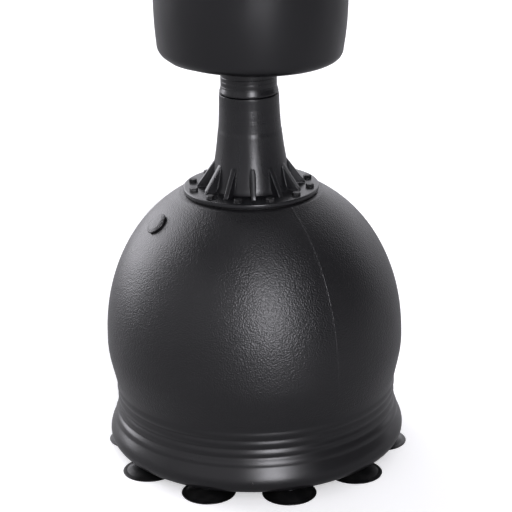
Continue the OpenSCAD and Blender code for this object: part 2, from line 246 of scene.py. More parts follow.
class Nodes:
    """A material's node tree, with one short call for each kind of node."""

    def __init__(self, name):
        self.material = bpy.data.materials.new(name)
        self.material.use_nodes = True
        self.tree = self.material.node_tree
        self.shader = self.tree.nodes["Principled BSDF"]
        self.place = self.tree.nodes.new("ShaderNodeTexCoord").outputs["Object"]

    def add(self, kind, **inputs):
        node = self.tree.nodes.new(kind)
        for key, value in inputs.items():
            socket = node.inputs[key.replace("_", " ")]
            if isinstance(value, bpy.types.NodeSocket):
                self.tree.links.new(value, socket)
            else:
                socket.default_value = value
        return node

    def noise(self, scale, detail=2.0, roughness=0.5, stretch=None):
        place = self.place
        if stretch:
            mapping = self.add("ShaderNodeMapping", Vector=place, Scale=stretch)
            place = mapping.outputs[0]
        return self.add("ShaderNodeTexNoise", Vector=place, Scale=scale, Detail=detail,
                        Roughness=roughness).outputs["Fac"]

    def cells(self, scale):
        return self.add("ShaderNodeTexVoronoi", Vector=self.place, Scale=scale).outputs["Distance"]

    def remap(self, value, low, high, to_low, to_high):
        node = self.add("ShaderNodeMapRange", Value=value)
        for key, number in (("From Min", low), ("From Max", high), ("To Min", to_low), ("To Max", to_high)):
            node.inputs[key].default_value = number
        return node.outputs[0]

    def maths(self, operation, a, b):
        node = self.tree.nodes.new("ShaderNodeMath")
        node.operation = operation
        for socket, value in zip(node.inputs, (a, b)):
            if isinstance(value, bpy.types.NodeSocket):
                self.tree.links.new(value, socket)
            else:
                socket.default_value = value
        return node.outputs[0]

    def between(self, share, first, second):
        node = self.tree.nodes.new("ShaderNodeMix")
        node.data_type = "RGBA"
        self.tree.links.new(share, node.inputs["Factor"])
        for socket, colour in ((node.inputs[6], first), (node.inputs[7], second)):
            if isinstance(colour, bpy.types.NodeSocket):
                self.tree.links.new(colour, socket)
            else:
                socket.default_value = (*colour, 1.0)
        return node.outputs[2]

    def bump(self, height, distance, strength=1.0, under=None):
        node = self.add("ShaderNodeBump", Height=height, Distance=distance, Strength=strength)
        if under:
            self.tree.links.new(under, node.inputs["Normal"])
        return node.outputs[0]

    def set(self, **inputs):
        for key, value in inputs.items():
            socket = self.shader.inputs[key.replace("_", " ")]
            if isinstance(value, bpy.types.NodeSocket):
                self.tree.links.new(value, socket)
            else:
                socket.default_value = value
        return self.material


GRAIN_LOW_Z = 0.130
GRAIN_HIGH_Z = 0.150


def grained_plastic():
    """Blow-moulded polyethylene: pebble grain on the dome, smoother satin round the foot."""
    n = Nodes("tank_plastic")
    split = n.add("ShaderNodeSeparateXYZ", Vector=n.place)
    grained = n.remap(split.outputs["Z"], GRAIN_LOW_Z, GRAIN_HIGH_Z, 0.12, 1.0)
    cloud = n.noise(5.0, 3.0)
    cloud = n.remap(cloud, 0.3, 0.7, 0.0, 1.0)
    colour = n.between(cloud, (0.0048, 0.0046, 0.0054), (0.0068, 0.0066, 0.0074))
    pebble = n.noise(390.0, 0.0, 0.5)
    fine = n.noise(900.0, 0.0)
    grain = n.maths("ADD", n.maths("MULTIPLY", pebble, 0.9), n.maths("MULTIPLY", fine, 0.12))
    grain = n.maths("MULTIPLY", grain, grained)
    wave = n.bump(n.noise(9.0, 1.0), 0.0015, 0.2)
    satin = n.remap(n.noise(14.0, 4.0), 0.25, 0.75, 0.0, 0.06)
    rough = n.maths("ADD", satin, n.remap(grained, 0.12, 1.0, 0.27, 0.34))
    return n.set(Base_Color=colour, Roughness=rough, Normal=n.bump(grain, 0.0018, 0.40, wave),
                 Specular_IOR_Level=0.5)


def moulded_plastic(name, dark, light, rough_low, rough_high, specular=0.5):
    """Smooth injection-moulded plastic with faint flow clouds and fine handling scuffs."""
    n = Nodes(name)
    cloud = n.noise(11.0, 3.0)
    colour = n.between(n.remap(cloud, 0.3, 0.7, 0.0, 1.0), dark, light)
    scuff = n.noise(60.0, 5.0, 0.7, (1.0, 1.0, 0.12))
    rough = n.remap(scuff, 0.3, 0.7, rough_low, rough_high)
    skin = n.noise(700.0, 2.0)
    wave = n.bump(n.noise(25.0, 1.0), 0.0006, 0.2)
    return n.set(Base_Color=colour, Roughness=rough, Normal=n.bump(skin, 0.00012, 0.35, wave),
                 Specular_IOR_Level=specular)


def rubber(name, colour, dusty, rough):
    """Moulded rubber with a light bloom of dust."""
    n = Nodes(name)
    bloom = n.remap(n.noise(38.0, 5.0, 0.65), 0.45, 0.75, 0.0, 1.0)
    shade = n.between(bloom, colour, dusty)
    grain = n.noise(900.0, 3.0)
    return n.set(Base_Color=shade, Roughness=n.remap(bloom, 0.0, 1.0, rough, rough + 0.2),
                 Normal=n.bump(grain, 0.0002, 0.4), Specular_IOR_Level=0.3)


def steel(name, colour, rough_low, rough_high):
    """Zinc-plated steel: clouded plating and fine drawn scratches."""
    n = Nodes(name)
    spangle = n.cells(130.0)
    shade = n.between(n.remap(spangle, 0.0, 0.7, 0.0, 1.0), colour, tuple(c * 0.72 for c in colour))
    scratch = n.noise(240.0, 4.0, 0.6, (1.0, 1.0, 0.06))
    return n.set(Base_Color=shade, Metallic=1.0, Roughness=n.remap(scratch, 0.3, 0.7, rough_low, rough_high),
                 Normal=n.bump(scratch, 0.0001, 0.3))


def foam(name, colour):
    """Open-cell foam. Its colour is darker towards each cell's middle, where the bump sinks in: painted shade
    in the pores.
    """
    n = Nodes(name)
    cell = n.cells(420.0)
    # Painted shade: the pores, which the bump below sinks in, are coloured up to 40 % darker than the struts.
    shade = n.between(n.remap(cell, 0.1, 0.6, 0.0, 1.0), tuple(c * 0.6 for c in colour), colour)
    return n.set(Base_Color=shade, Roughness=n.remap(cell, 0.0, 0.6, 0.98, 0.85),
                 Normal=n.bump(cell, 0.0012, 0.7), Specular_IOR_Level=0.2)


def sand():
    """Dry sand, as a filled solid."""
    n = Nodes("sand")
    grain = n.cells(1300.0)
    shade = n.between(n.noise(900.0, 3.0), (0.42, 0.31, 0.18), (0.66, 0.55, 0.38))
    return n.set(Base_Color=shade, Roughness=n.remap(grain, 0.0, 0.6, 0.95, 0.8),
                 Normal=n.bump(grain, 0.001, 0.8))


def bag_leather(name, rough_low, rough_high, specular):
    """Satin synthetic leather: very fine grain over a faintly uneven padding."""
    n = Nodes(name)
    cloud = n.noise(4.0, 4.0)
    cloud = n.remap(cloud, 0.3, 0.7, 0.0, 1.0)
    colour = n.between(cloud, (0.0028, 0.0027, 0.0036), (0.0038, 0.0037, 0.0047))
    grain = n.maths("ADD", n.maths("MULTIPLY", n.cells(1250.0), 0.8), n.noise(2300.0, 2.0))
    soft = n.bump(n.noise(7.0, 2.0), 0.002, 0.12)
    rough = n.remap(n.noise(22.0, 4.0), 0.3, 0.7, rough_low, rough_high)
    return n.set(Base_Color=colour, Roughness=rough, Normal=n.bump(grain, 0.00015, 0.3, soft),
                 Specular_IOR_Level=specular)


def thread():
    """Twisted sewing thread."""
    n = Nodes("thread")
    twist = n.noise(2600.0, 2.0)
    shade = n.between(twist, (0.012, 0.012, 0.013), (0.035, 0.035, 0.038))
    return n.set(Base_Color=shade, Roughness=n.remap(twist, 0.0, 1.0, 0.55, 0.75),
                 Normal=n.bump(twist, 0.0002, 0.6))


TANK_SKIN = grained_plastic()
NECK_SKIN = moulded_plastic("neck_plastic", (0.0048, 0.0048, 0.0058), (0.0066, 0.0066, 0.0076), 0.25, 0.33)
INNER_SKIN = moulded_plastic("inner_plastic", (0.012, 0.012, 0.013), (0.018, 0.018, 0.020), 0.5, 0.65)
CUP_SKIN = rubber("cup_rubber", (0.0035, 0.0035, 0.0037), (0.0080, 0.0078, 0.0076), 0.32)
SEAL_SKIN = rubber("seal_rubber", (0.006, 0.006, 0.006), (0.014, 0.014, 0.013), 0.6)
BOLT_SKIN = moulded_plastic("black_bolts", (0.004, 0.004, 0.0045), (0.007, 0.007, 0.0075), 0.38, 0.52)
STEEL_SKIN = steel("zinc_steel", (0.56, 0.57, 0.60), 0.28, 0.45)
BRASS_SKIN = steel("brass", (0.62, 0.42, 0.16), 0.25, 0.4)
FOAM_SKIN = foam("foam", (0.33, 0.34, 0.37))
SAND_SKIN = sand()
LEATHER = bag_leather("cover_leather", 0.29, 0.36, 0.5)
TOP_LEATHER = bag_leather("top_leather", 0.66, 0.76, 0.12)
THREAD = thread()


# ---------------------------------------------------------------- tank

def ridge(z):
    """How far the ribs round the foot stand out at a height."""
    turn = (z - FIRST_RIDGE_Z) / RIDGE_PITCH
    if turn < -0.5 or turn > RIDGE_COUNT - 0.5:
        return 0.0
    return RIDGE_H * ((1 + math.cos(TAU * turn)) / 2) ** RIDGE_FULLNESS


def tank_radius(z):
    """Radius of the tank's outside: flared foot, waist, then a superellipse dome."""
    if z < WAIST_Z:
        share = ((WAIST_Z - z) / (WAIST_Z - FOOT_Z)) ** FOOT_POWER
        return WAIST_R + (FOOT_R - WAIST_R) * (1 - math.cos(math.pi * share)) / 2 + ridge(z)
    if z < TANK_WIDE_Z:
        share = (z - WAIST_Z) / (TANK_WIDE_Z - WAIST_Z)
        return WAIST_R + (TANK_R - WAIST_R) * (1 - math.cos(math.pi * share)) / 2 + ridge(z)
    share = ((z - TANK_WIDE_Z) / DOME_RISE) ** DOME_POWER
    return TANK_R * (1 - share) ** (1 / DOME_POWER)


def tank_outline():
    """Outline of the tank's outside, from the middle of its underside to its mouth."""
    edge = FOOT_Z - TANK_BOTTOM
    points = [(0.0, TANK_BOTTOM), (0.12, TANK_BOTTOM), (0.20, TANK_BOTTOM)]
    points += [(FOOT_R - edge * (1 - math.sin(a)), FOOT_Z - edge * math.cos(a))
               for a in [math.radians(d) for d in range(0, 90, 9)]]
    z = FOOT_Z
    while z < TANK_TOP - 0.004:
        points.append((tank_radius(z), z))
        z += 0.0016 if z < 0.145 else 0.008
    rim = tank_radius(TANK_TOP - 0.004)
    points += [(rim, TANK_TOP - 0.004), (rim - 0.003, TANK_TOP - 0.0015), (rim - 0.006, TANK_TOP)]
    points += [(MOUTH_R, TANK_TOP), (MOUTH_R, TANK_TOP - MOUTH_DEPTH)]
    return points


def plug_frame():
    """The filler port's own frame: origin on the dome, +Z straight out of it."""
    r = tank_radius(PLUG_Z)
    out = (r / TANK_R) ** (DOME_POWER - 1) / TANK_R
    up = ((PLUG_Z - TANK_WIDE_Z) / DOME_RISE) ** (DOME_POWER - 1) / DOME_RISE
    tilt = math.atan2(out, up)
    return turned(PLUG_ANGLE, r, PLUG_Z) @ Matrix.Rotation(tilt, 4, "X")


def tank_columns():
    """Angles round the tank, with close columns where the two mould halves meet."""
    angles = [TAU * k / 192 for k in range(192)]
    for seam in (SEAM_ANGLE, SEAM_ANGLE + math.pi):
        angles = [a for a in angles if abs((a - seam + math.pi) % TAU - math.pi) > 0.012]
        angles += [seam + d for d in (-0.0075, -0.0038, -0.0016, 0.0, 0.0016, 0.0038, 0.0075)]
    return sorted(a % TAU for a in angles)


def tank_shape(place, angle):
    """Raises the mould seam and lets the blown wall wander by a fraction of a millimetre."""
    out = outward(angle)
    seam = min(abs((angle - s + math.pi) % TAU - math.pi) for s in (SEAM_ANGLE, SEAM_ANGLE + math.pi))
    radius = math.hypot(place.x, place.y)
    fade = min(1.0, radius / 0.2)
    strong = min(1.0, max(0.15, (place.z - SEAM_FADE_Z) / 0.05))
    lift = SEAM_LIFT * math.exp(-(seam * radius / SEAM_WIDTH) ** 2) * strong
    wander = 0.0005 * noise.noise(place * 9.0) * fade if FOOT_Z < place.z < TANK_TOP - 0.01 else 0.0
    return place + out * (lift + wander)


NUB_ANGLE = math.radians(-2.0)
NUB_Z = 0.0426


def moulding_nub(build):
    """The small raised gate mark low on the front of the foot."""
    out = turned(NUB_ANGLE, tank_radius(NUB_Z) - 0.0002, NUB_Z)
    part = bmesh.new()
    lathe(part, [(0.0026, -0.001), (0.0024, 0.0003), (0.0018, 0.0010), (0.0009, 0.0014), (0.0, 0.0015)], 20)
    add_part(build, part, out @ Matrix.Rotation(math.pi / 2, 4, "X"))


def make_tank():
    build = bmesh.new()
    lathe(build, tank_outline(), tank_columns(), tank_shape)
    moulding_nub(build)
    tank = link_mesh("tank_shell", build, "base", [TANK_SKIN])
    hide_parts("tank")


make_tank()

# ---------------------------------------------------------------- filler plug


def make_plug():
    """Push-in plug with an undercut, domed cap."""
    build = bmesh.new()
    stem_r = PORT_R - 0.0004
    cap = rounded([(0.0, -0.017, 0), (stem_r, -0.017, 0.0008), (stem_r, -0.0012, 0),
                   (PLUG_R - 0.0022, -0.0012, 0.0003), (PLUG_R - 0.0016, 0.0008, 0.0006),
                   (PLUG_R, 0.0022, 0.0006), (PLUG_R - 0.0008, 0.0036, 0.0010),
                   (PLUG_R - 0.0060, 0.0053, 0.004), (0.0, 0.0072, 0)], 5)
    lathe(build, cap, 72)
    bmesh.ops.transform(build, matrix=plug_frame(), verts=build.verts)
    plug = link_mesh("plug_button", build, "plug", [TANK_SKIN])
    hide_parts("filler_plug")


make_plug()

# ---------------------------------------------------------------- suction cups


def cup_outline():
    """Hollow underside, thin lip, sloping back, then the stem in the tank's socket."""
    stem_z = TANK_BOTTOM - 0.0002
    hollow = [(0.0, 0.0088, 0), (0.012, 0.0075, 0.004), (0.028, 0.0038, 0.01), (0.0415, 0.0002, 0.002)]
    lip = [(CUP_R - 0.0004, 0.0, 0.0003), (CUP_R, 0.0008, 0.0004), (CUP_R - 0.0006, 0.0017, 0.0004),
           (0.043, 0.0024, 0.002)]
    back = [(0.0405, 0.0028, 0.001), (0.030, 0.0072, 0.01), (0.0165, 0.0122, 0.003), (0.0135, stem_z, 0.001)]
    stem = [(CUP_STEM_R, stem_z, 0), (CUP_STEM_R, CUP_TOP, 0.001), (0.0, CUP_TOP, 0)]
    return rounded(hollow + lip + back + stem, 4)


def make_cups():
    names = [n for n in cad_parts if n.startswith(("outer_cup_", "inner_cup_")) or n == "centre_cup"]
    for name in sorted(names):
        low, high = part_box(name)
        middle = Vector(((low[0] + high[0]) / 2, (low[1] + high[1]) / 2, 0.0))
        build = bmesh.new()
        lathe(build, cup_outline(), 72)
        bmesh.ops.transform(build, matrix=Matrix.Translation(middle), verts=build.verts)
        cup = link_mesh(name + "_rubber", build, "base", [CUP_SKIN], 50.0)
        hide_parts(name)


make_cups()

# ---------------------------------------------------------------- neck


def neck_radius(z):
    """Radius of the neck's trumpet."""
    return NECK_TOP_R + NECK_FLARE * ((NECK_TOP - z) / (NECK_TOP - FLANGE_TOP)) ** 2


def neck_outline():
    """Spigot in the tank's mouth, flange, trumpet, then the seat for the collar."""
    spigot_r, spigot_z = MOUTH_R - 0.0002, TANK_TOP - MOUTH_DEPTH
    points = [(0.0, spigot_z, 0), (spigot_r, spigot_z, 0.001), (spigot_r, FLANGE_BOTTOM, 0),
              (FLANGE_R - 0.001, FLANGE_BOTTOM, 0.0006), (FLANGE_R, FLANGE_BOTTOM + 0.002, 0.001),
              (FLANGE_R, FLANGE_TOP, 0.0032), (0.0760, FLANGE_TOP, 0.004)]
    outline = rounded(points + [(neck_radius(FLANGE_TOP + 0.006), FLANGE_TOP + 0.006, 0)], 6)[:-1]
    z = FLANGE_TOP + 0.008
    while z < NECK_TOP - 0.004:
        outline.append(Vector((neck_radius(z) + neck_line(z), z)))
        z += 0.0006 if z > NECK_STEP_Z - 0.002 else 0.004
    seat_z = NECK_TOP + 0.0013
    outline += rounded([(neck_radius(NECK_TOP - 0.004), NECK_TOP - 0.004, 0), (NECK_TOP_R, NECK_TOP, 0.0012),
                        (NECK_SEAT_R, NECK_TOP, 0.0005), (NECK_SEAT_R, seat_z, 0), (0.0, seat_z, 0)], 4)
    return outline


NECK_STEP_Z = 0.597
NECK_STEP = 0.00055
NECK_LINES = (0.6155, 0.6193, 0.6278, 0.6302, 0.6326, 0.6350, 0.6375, 0.6563)
NECK_LINE_LIFT = 0.00017
NECK_LINE_WIDTH = 0.0007


def neck_line(z):
    """The faint step where the mould's top part starts, and the fine turning lines above it."""
    lines = sum(NECK_LINE_LIFT * math.exp(-((z - line) / NECK_LINE_WIDTH) ** 2) for line in NECK_LINES)
    return lines + (0.0 if z > NECK_STEP_Z else NECK_STEP)


GUSSET_EDGE = 0.0009
GUSSET_FILLET = 0.0022


def gusset_stations():
    """Heights down one gusset, with its outer radius and half width; its top ends in a round arch."""
    top = Vector((neck_radius(GUSSET_TOP), GUSSET_TOP))
    foot = Vector((GUSSET_FOOT_R, FLANGE_TOP + 0.002))
    run = (foot - top).length
    arch = GUSSET_T / 2
    stations = []
    down_arch = [0.0, 0.0003, 0.0009, 0.0018, 0.003, arch]
    for along in down_arch + [arch + (run - arch) * k / 8 for k in range(1, 9)]:
        place = top.lerp(foot, along / run)
        half = arch * (1.0 - 0.08 * along / run)
        if along < arch:
            half *= math.sqrt(max(0.0025, 1 - (1 - along / arch) ** 2))
        stations.append((place.y, place.x, half))
    return stations + [(FLANGE_TOP + 0.0011, GUSSET_FOOT_R, arch * 0.93),
                       (FLANGE_TOP + 0.0003, GUSSET_FOOT_R + 0.0006, arch),
                       (FLANGE_TOP - 0.0006, GUSSET_FOOT_R + 0.0012, arch * 1.1)]


def gusset_bar(build):
    """One gusset, drawn as level sections: filleted roots on the cone, thin rounded outer edges."""
    rings = []
    for z, outer, half in gusset_stations():
        cone = neck_radius(max(z, FLANGE_TOP))
        depth = max(0.0, outer - cone)
        edge = min(GUSSET_EDGE, depth * 0.3)
        fillet = min(GUSSET_FILLET, depth * 0.4)
        root = [(half + fillet, cone - 0.0015), (half + fillet, cone - 0.0001),
                (half + 0.3 * fillet, cone + 0.3 * fillet), (half, cone + fillet)]
        side = root + [(half, outer - edge), (half - 0.3 * edge, outer - 0.3 * edge), (half - edge, outer)]
        section = [(-x, r) for x, r in side] + side[::-1]
        rings.append([build.verts.new((x, -r, z)) for x, r in section])
    count = len(rings[0])
    for high, low in zip(rings, rings[1:]):
        for k in range(count):
            n = (k + 1) % count
            build.faces.new((high[k], low[k], low[n], high[n]))
    build.faces.new(rings[0])
    build.faces.new(rings[-1][::-1])


def make_neck():
    build = bmesh.new()
    lathe(build, neck_outline(), 160)
    for k in range(GUSSET_COUNT):
        part = bmesh.new()
        gusset_bar(part)
        bmesh.ops.recalc_face_normals(part, faces=part.faces)
        add_part(build, part, turned(GUSSET_ANGLE + TAU * k / GUSSET_COUNT))
    neck = link_mesh("neck_moulding", build, "base", [NECK_SKIN], 48.0)
    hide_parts("neck")


make_neck()


def make_flange_bolts():
    """Twelve black hexagon bolts with chamfered heads and washer faces."""
    build = bmesh.new()
    for k in range(GUSSET_COUNT):
        place = turned(GUSSET_ANGLE + TAU * (k + 0.5) / GUSSET_COUNT, BOLT_CIRCLE_R, FLANGE_TOP)
        place = place @ Matrix.Rotation(random.uniform(0.0, TAU / 6), 4, "Z")
        part = bmesh.new()
        lathe(part, [(0.0, -0.0195), (0.0039, -0.0195), (0.0039, 0.0), (0.0076, 0.0), (0.0076, 0.0007),
                     (0.0064, 0.0009)], 48)
        lathe(part, [(0.0064, 0.0009), (0.0075, 0.0009), (0.0075, 0.0047), (0.0066, 0.0055),
                     (0.0, 0.0053)], 6)
        add_part(build, part, place)
    bolts = link_mesh("flange_bolt_set", build, "base", [BOLT_SKIN], 25.0)
    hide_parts("flange_bolts")


make_flange_bolts()


COLLAR_R = 0.0490
COLLAR_LIP_R = 0.0514
COLLAR_BORE_R = 0.0445
COLLAR_HOLE_R = 0.0272
COLLAR_FLOOR = 0.004
COLLAR_GROOVES = ((0.6752, 0.0004), (0.6838, 0.0003), (0.6912, 0.0005))


def collar_grooves():
    """Corners of the shallow rings turned into the sleeve."""
    corners = []
    for z, depth in COLLAR_GROOVES:
        corners += [(COLLAR_R, z - 0.0010, 0.0002), (COLLAR_R - depth, z, 0.0003),
                    (COLLAR_R, z + 0.0010, 0.0002)]
    return corners


def make_collar():
    """Sleeve with a flared lip at its foot, shallow rings, a bore and a holed floor."""
    low, top = COLLAR_BOX[0][2], COLLAR_BOX[1][2]
    lip = [(COLLAR_HOLE_R, low, 0), (COLLAR_LIP_R - 0.0006, low, 0.0004),
           (COLLAR_LIP_R, low + 0.0008, 0.0005), (COLLAR_LIP_R, low + 0.0030, 0.0020),
           (COLLAR_R + 0.0002, low + 0.0105, 0.0040)]
    rim = [(COLLAR_R, top - 0.002, 0.0010), (COLLAR_R - 0.0015, top, 0.0008), (COLLAR_BORE_R, top, 0.0005)]
    bore = [(COLLAR_BORE_R, low + COLLAR_FLOOR, 0), (COLLAR_HOLE_R, low + COLLAR_FLOOR, 0),
            (COLLAR_HOLE_R, low, 0)]
    build = bmesh.new()
    lathe(build, rounded(lip + collar_grooves() + rim + bore, 5), 144)
    collar = link_mesh("collar_sleeve", build, "base", [NECK_SKIN])
    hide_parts("collar")


make_collar()

# ---------------------------------------------------------------- bag cover

COVER_EDGE = 0.020
COVER_TAPER_TOP = BAG_BOTTOM + 0.110
COVER_TAPER_H = 0.090
COVER_TAPER = 0.006
COVER_ROW = 0.010


def cover_radius(z):
    """Radius of the bag, which draws in towards its foot."""
    drop = max(0.0, (COVER_TAPER_TOP - z) / COVER_TAPER_H)
    return BAG_R - COVER_TAPER * drop * drop


def bag_ease(place, angle):
    """The soft bag's own unevenness: its foot hangs lower on the right, its padding is not quite round."""
    up = place.z - BAG_BOTTOM
    foot = math.exp(-(up / 0.16) ** 2)
    radius = math.hypot(place.x, place.y)
    side = place.x / BAG_R
    share = min(1.0, max(0.0, radius - RECESS_R) / (BAG_R - RECESS_R))
    lean = 0.0075 * math.exp(-((up - 0.16) / 0.20) ** 2) * share
    low = (0.0018 + 0.0044 * place.y / BAG_R - 0.0085 * side) * foot * share
    wander = 0.0012 * noise.noise(Vector((place.x * 5, place.y * 5, place.z * 3.5))) * share
    return place + outward(angle) * wander + Vector((lean, 0.0, low))


def cover_outline(top):
    """The bag's outline: round bottom edge, then level rows up its side to a height."""
    edge_z = BAG_BOTTOM + COVER_EDGE
    edge_r = cover_radius(edge_z) - COVER_EDGE
    points = [(edge_r + COVER_EDGE * math.cos(a), edge_z - COVER_EDGE * math.sin(a))
              for a in [math.radians(d) for d in range(84, -1, -12)]]
    z = edge_z + 0.012
    while z < top - 0.003:
        points.append((cover_radius(z), z))
        z += COVER_ROW
    points.append((BAG_R - 0.0006, top))
    return points


COVER_T = 0.0014
COVER_SLACK = 0.0025
COVER_PUSH = 0.0050
CLOTH_FRAMES = 20
CLOTH_PRESSURE = 4.0
BACKING_PASSES = 5
BACK_SEAM_HALF = math.radians(2.2)
BACK_SEAM_LIFT = 0.0009
EDGE_ROWS = 4


def cover_columns():
    """Angles round the cover, with close columns along the sewn seam up its back."""
    near = [math.radians(d) for d in (-3.4, -2.45, -2.2, -1.1, 0.0, 1.1, 2.2, 2.45, 3.4)]
    even = [TAU * k / 144 for k in range(144)]
    far = [a for a in even if abs(a - math.pi) > near[-1] + 0.02]
    return sorted(far + [math.pi + d for d in near])


def cloth_run(rows, columns):
    """Runs the cover as cloth, held at its top and bottom seams. Gives its places before and after."""
    build = bmesh.new()
    rings = lathe(build, rows, columns, bag_ease)
    bmesh.ops.recalc_face_normals(build, faces=build.faces)
    build.faces.ensure_lookup_table()
    sample = build.faces[len(build.faces) // 2]
    if sample.normal.dot(sample.calc_center_median() * Vector((1, 1, 0))) < 0:
        bmesh.ops.reverse_faces(build, faces=build.faces)
    build.verts.index_update()
    held = [v.index for v in rings[0] + rings[1] + rings[-1]]
    mesh = bpy.data.meshes.new("cover_cloth")
    build.to_mesh(mesh)
    build.free()
    cloth = bpy.data.objects.new("cover_cloth", mesh)
    bpy.context.scene.collection.objects.link(cloth)
    cloth.vertex_groups.new(name="seams").add(held, 1.0, "REPLACE")
    modifier = cloth.modifiers.new("cloth", "CLOTH")
    settings = modifier.settings
    settings.quality = 6
    settings.mass = 0.05
    settings.vertex_group_mass = "seams"
    settings.tension_stiffness = settings.compression_stiffness = 15.0
    settings.bending_stiffness = 20.0
    settings.air_damping = 1.0
    settings.use_pressure = True
    settings.uniform_pressure_force = CLOTH_PRESSURE
    settings.effector_weights.gravity = 0.0
    modifier.collision_settings.use_collision = False
    for step in range(1, CLOTH_FRAMES + 1):
        bpy.context.scene.frame_set(step)
    graph = bpy.context.evaluated_depsgraph_get()
    pushed = [v.co.copy() for v in cloth.evaluated_get(graph).data.vertices]
    start = [v.co.copy() for v in mesh.vertices]
    bpy.context.scene.frame_set(1)
    bpy.data.objects.remove(cloth)
    bpy.data.meshes.remove(mesh)
    return start, pushed


def cover_cloth(outline, columns):
    """The cover cut slack and pushed out by a short cloth run.

    The run's moves are averaged over their neighbours, as a stiff backing would, and the slack left
    is then let out evenly, so that the cover meets its outline's girth.
    """
    rows = outline[:2] + [(r - COVER_SLACK, z) for r, z in outline[2:-1]] + outline[-1:]
    start, pushed = cloth_run(rows, columns)
    count = len(columns)
    loose = [count * 2 <= k < len(start) - count for k in range(len(start))]
    moves = [after - before for before, after in zip(start, pushed)]
    for _ in range(BACKING_PASSES):
        moves = [(moves[k - count] + moves[k + count] + moves[k - 1] + moves[k + 1] + moves[k] * 2) / 6
                 if loose[k] else moves[k] for k in range(len(moves))]
    pushes = [m.dot(Vector((b.x, b.y, 0.0)).normalized()) for m, b, free in zip(moves, start, loose) if free]
    let_out = COVER_SLACK - sum(pushes) / len(pushes)
    places = []
    for before, move, free in zip(start, moves, loose):
        if free:
            move = move + Vector((before.x, before.y, 0.0)).normalized() * let_out
        if move.length > COVER_PUSH:
            move = move * (COVER_PUSH / move.length)
        places.append(before + move)
    return places


def make_cover():
    """The cover's side, one thin skin with a raised seam up its back. Gives its surface for stitching."""
    outline = cover_outline(BAG_TOP - 0.010)
    columns = cover_columns()
    places = cover_cloth(outline, columns)
    count = len(columns)
    build = bmesh.new()
    outside, inside = [], []
    for k, place in enumerate(places):
        angle = columns[k % count]
        out = outward(angle)
        lift = BACK_SEAM_LIFT if abs(angle - math.pi) < BACK_SEAM_HALF + 0.001 else 0.0
        outside.append(build.verts.new(place + out * lift))
        rise = Vector((0.0, 0.0, 0.0008 if k < EDGE_ROWS * count else 0.0))
        inside.append(build.verts.new(place - out * COVER_T + rise))
    for low in range(0, len(places) - count, count):
        middle, high = low + count, low + 2 * count
        cross_faces(build, outside[low:middle], outside[middle:high])
        cross_faces(build, inside[middle:high], inside[low:middle])
    cross_faces(build, inside[:count], outside[:count])
    cross_faces(build, outside[-count:], inside[-count:])
    surface = BVHTree.FromBMesh(build)
    cover = link_mesh("cover_skin", build, "bag", [LEATHER])
    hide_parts("cover_side")
    return surface


STITCH_PITCH = 0.0070
STITCH_LENGTH = 0.0048
STITCH_R = 0.00045
# Along the stitch, how far its middle stands off the cover in wire radii, and its width
STITCH_SHAPE = ((-0.02, -1.2, 0.5), (0.12, 0.25, 0.9), (0.5, 0.6, 1.0), (0.88, 0.25, 0.9), (1.02, -1.2, 0.5))


def stitch(build, surface, first, last):
    """One stitch between two (angle, z) places on the cover, both ends sunk into it."""
    ends = []
    for angle, z in (first, last):
        out = outward(angle)
        hit = surface.ray_cast(out * 0.25 + Vector((0, 0, z)), -out)[0]
        ends.append((hit, out))
    (start, out), (end, _) = ends
    along = end - start
    side = along.cross(out).normalized() * STITCH_R
    rings = []
    for share, rise, wide in STITCH_SHAPE:
        middle = start + along * share + out * (rise * STITCH_R)
        ring = []
        for a in [TAU * k / 6 for k in range(6)]:
            across = side * wide * math.cos(a)
            ring.append(build.verts.new(middle + across + out * STITCH_R * wide * math.sin(a)))
        rings.append(ring)
    for low, high in zip(rings, rings[1:]):
        cross_faces(build, low, high)
    build.faces.new(rings[0][::-1])
    build.faces.new(rings[-1])


def make_stitches(surface):
    """A row of stitches under the top rim, and two rows down the seam at the back."""
    build = bmesh.new()
    top_z = BAG_TOP - 0.0170
    turns = round(TAU * BAG_R / STITCH_PITCH)
    span = STITCH_LENGTH / BAG_R
    for k in range(turns):
        angle = TAU * k / turns
        stitch(build, surface, (angle, top_z), (angle + span, top_z))
    for side in (-1.0, 1.0):
        angle = math.pi + side * BACK_SEAM_HALF * 0.62
        z = BAG_BOTTOM + 0.026
        while z < top_z - 0.010:
            stitch(build, surface, (angle, z), (angle, z + STITCH_LENGTH))
            z += STITCH_PITCH
    bmesh.ops.recalc_face_normals(build, faces=build.faces)
    link_mesh("cover_stitches", build, "bag", [THREAD], 60.0)


make_stitches(make_cover())


def make_cover_bottom():
    """The ring under the bag's foot, round the recess cup."""
    build = bmesh.new()
    outer = cover_radius(BAG_BOTTOM + COVER_EDGE) - COVER_EDGE + COVER_EDGE * math.cos(math.radians(80))
    inner, top = RECESS_R + 0.0002, BAG_BOTTOM + 0.0014
    lathe(build, rounded([(inner, top, 0), (inner, BAG_BOTTOM, 0.0005), (outer, BAG_BOTTOM, 0.0004),
                          (outer, BAG_BOTTOM + 0.0013, 0), (inner, top, 0)], 3), 144, bag_ease)
    panel = link_mesh("cover_bottom_panel", build, "bag", [LEATHER])
    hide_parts("cover_bottom")


make_cover_bottom()


PIPING_R = 0.0026


